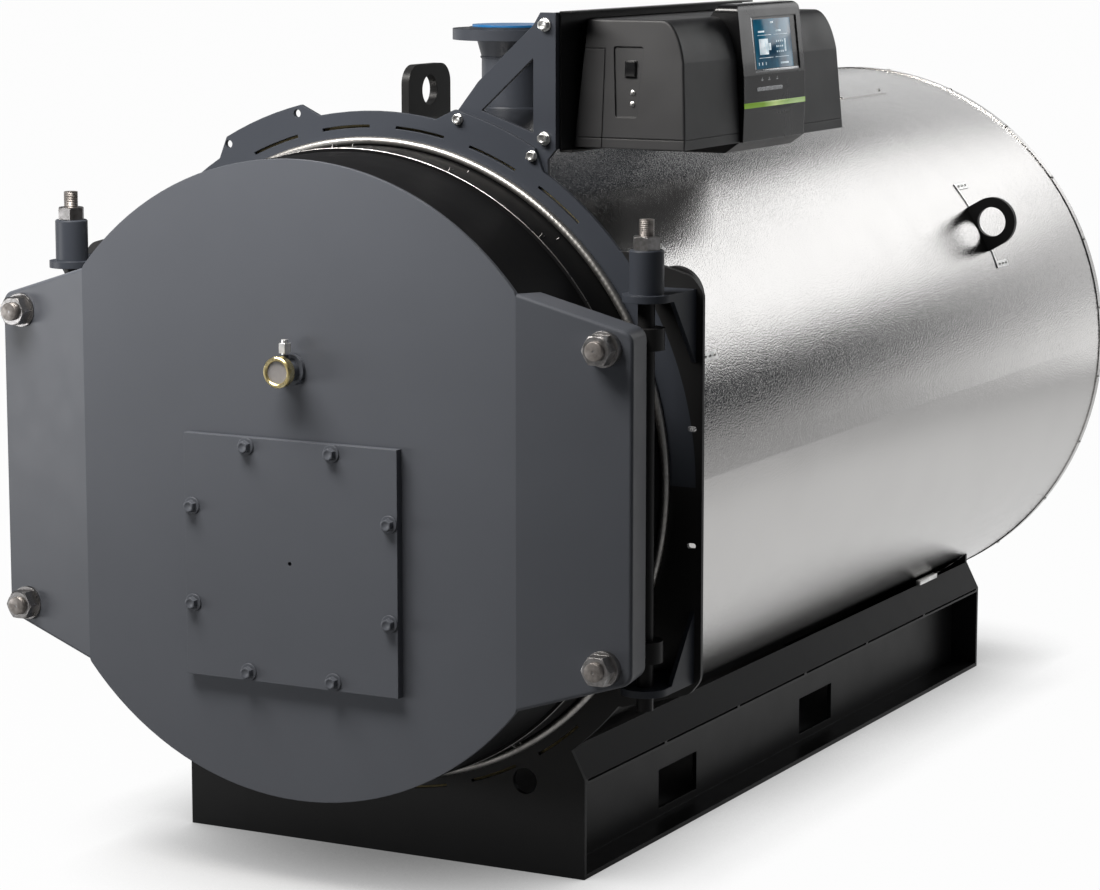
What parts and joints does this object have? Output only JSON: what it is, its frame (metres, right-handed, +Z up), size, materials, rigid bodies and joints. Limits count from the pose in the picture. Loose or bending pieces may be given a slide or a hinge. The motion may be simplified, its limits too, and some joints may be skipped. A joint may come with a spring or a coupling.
{
  "type": "industrial boiler",
  "caption": "Horizontal fire-tube hot water boiler with a hinged round front door, bright sheet cladding, flanged nozzles, a base frame and a control unit on a bracket.",
  "frame": {"origin": "on the floor, under the middle of the overall outline", "axes": "+Z up, +Y along the boiler to the rear, the door faces -Y, the control unit is on +X"},
  "size_m": [1.233, 2.541, 1.48],
  "materials": {
    "grey_paint": "satin anthracite grey",
    "black_paint": "satin black",
    "cladding_sheet": "stucco embossed",
    "zinc_steel": "zinc plated",
    "mineral_wool": "mineral wool",
    "refractory": "cast refractory",
    "brass": "turned",
    "glass": "clear",
    "blue_cap": "moulded",
    "housing_plastic": "fine grain",
    "gloss_black": "gloss"
  },
  "bodies": {
    "boiler": {"base_rail_left": "black_paint", "base_rail_right": "black_paint", "cladding": "cladding_sheet", "control_bracket": "grey_paint", "control_housing": "housing_plastic", "control_panel": "black_paint", "control_tray": "housing_plastic", "display_unit": "gloss_black", "eye_bolt_lower_left": "zinc_steel", "eye_bolt_upper_left": "zinc_steel", "flue_outlet": "black_paint", "front_lug": "black_paint", "front_plate": "grey_paint", "furnace": "black_paint", "hinge_bracket_lower_left": "grey_paint", "hinge_bracket_lower_right": "grey_paint", "hinge_bracket_upper_left": "grey_paint", "hinge_bracket_upper_right": "grey_paint", "hinge_rod_left": "zinc_steel", "hinge_rod_right": "zinc_steel", "insulation": "mineral_wool", "lashing_lug_front_left": "black_paint", "lashing_lug_front_right": "black_paint", "lashing_lug_rear_left": "black_paint", "lashing_lug_rear_right": "black_paint", "rear_base_plate": "black_paint", "rear_cover": "cladding_sheet", "rear_lug": "black_paint", "rear_rim": "cladding_sheet", "return_nozzle": "grey_paint", "seal_ring": "cladding_sheet", "supply_cap": "blue_cap", "supply_nozzle": "grey_paint", "top_cover": "cladding_sheet", "tube_plate": "black_paint", "vessel": "black_paint"},
    "door": {"door_skin": "grey_paint", "door_rim": "black_paint", "door_lining": "refractory", "burner_cover": "grey_paint", "sight_tube": "grey_paint", "sight_ring": "brass", "sight_pane": "glass", "eye_bolt_upper_right": "zinc_steel", "eye_bolt_lower_right": "zinc_steel", "door_nut_upper_left": "zinc_steel", "door_nut_lower_left": "zinc_steel"}
  },
  "joints": [
    {"name": "door_hinge", "type": "hinge", "parent": "boiler", "child": "door", "pos_m": [0.5644, -1.0445, 0.697], "axis": [0, 0, 1], "range_deg": [0, 105]}
  ]
}
